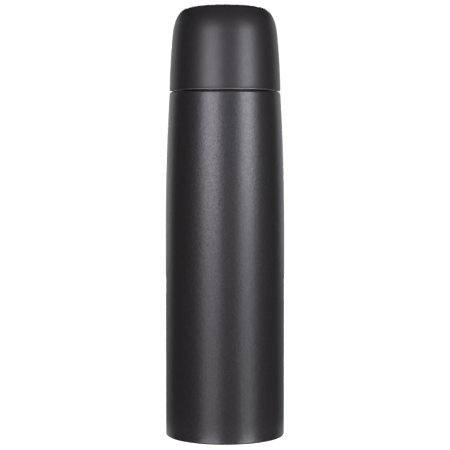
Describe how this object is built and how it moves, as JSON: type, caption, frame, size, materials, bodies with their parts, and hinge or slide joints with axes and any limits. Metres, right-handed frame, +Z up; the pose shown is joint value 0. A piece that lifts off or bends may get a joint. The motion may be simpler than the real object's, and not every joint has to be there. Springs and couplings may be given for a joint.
{
  "type": "vacuum flask",
  "caption": "Slim double-walled steel vacuum flask with a tapered shoulder, a push-button pouring stopper and a screw-on cup.",
  "frame": {"origin": "centre of the foot, on the surface that the flask stands on", "axes": "+Z up along the flask's axis, +X through the right-hand release tab, +Y away from the viewer"},
  "size_m": [0.085, 0.085, 0.3065],
  "materials": {
    "powder_coat": "matt charcoal-black powder coat with a fine grain",
    "stainless": "satin stainless steel",
    "spring_steel": "drawn stainless wire and rod",
    "copper": "bright copper foil",
    "getter_metal": "dull sintered metal",
    "solder_glass": "grey solder glass",
    "black_plastic": "moulded black polypropylene",
    "grey_plastic": "moulded dark grey polypropylene",
    "silicone": "translucent white silicone rubber"
  },
  "bodies": {
    "bottle": {"outer_shell": "powder_coat", "base_plate": "stainless", "vacuum_base": "stainless", "seal_bead": "solder_glass", "getter": "getter_metal", "inner_liner": "stainless", "liner_base": "stainless", "copper_foil": "copper", "neck_collar": "black_plastic"},
    "sealing_ring": {"neck_gasket": "silicone"},
    "stopper": {"stopper_body": "black_plastic", "stopper_cover": "black_plastic", "stem_seal": "silicone", "button_spring": "spring_steel", "tab_spring_left": "spring_steel", "tab_spring_right": "spring_steel"},
    "button": {"push_button": "grey_plastic", "valve_stem": "spring_steel", "valve_disc": "black_plastic", "valve_seal": "silicone"},
    "left_tab": {"release_tab_left": "grey_plastic"},
    "right_tab": {"release_tab_right": "grey_plastic"},
    "cup_bowl": {"cup_liner": "stainless"},
    "cup": {"cup_shell": "powder_coat", "cup_thread_ring": "black_plastic"}
  },
  "joints": [
    {"name": "stopper_rise", "type": "slide", "parent": "bottle", "child": "sealing_ring", "axis": [0, 0, 1], "range_m": [0, 0.0451]},
    {"name": "stopper_turn", "type": "hinge", "parent": "sealing_ring", "child": "stopper", "pos_m": [0, 0, 0.24], "axis": [0, 0, 1], "range_deg": [0, 3240]},
    {"name": "button_press", "type": "slide", "parent": "stopper", "child": "button", "axis": [0, 0, -1], "range_m": [0, 0.004], "stiffness_N_per_m": 800, "springref_m": -0.003, "deforming": ["button_spring"]},
    {"name": "left_tab_press", "type": "slide", "parent": "stopper", "child": "left_tab", "axis": [1, 0, 0], "range_m": [0, 0.0015], "stiffness_N_per_m": 300, "springref_m": -0.002, "deforming": ["tab_spring_left"]},
    {"name": "right_tab_press", "type": "slide", "parent": "stopper", "child": "right_tab", "axis": [-1, 0, 0], "range_m": [0, 0.0015], "stiffness_N_per_m": 300, "springref_m": -0.002, "deforming": ["tab_spring_right"]},
    {"name": "cup_rise", "type": "slide", "parent": "stopper", "child": "cup_bowl", "axis": [0, 0, 1], "range_m": [0, 0.0351]},
    {"name": "cup_turn", "type": "hinge", "parent": "cup_bowl", "child": "cup", "pos_m": [0, 0, 0.25], "axis": [0, 0, 1], "range_deg": [0, 2520]}
  ],
  "couplings": [
    {"joint": "stopper_rise", "follows": "stopper_turn", "m_per_rad": 0.00079577},
    {"joint": "cup_rise", "follows": "cup_turn", "m_per_rad": 0.00079577}
  ]
}
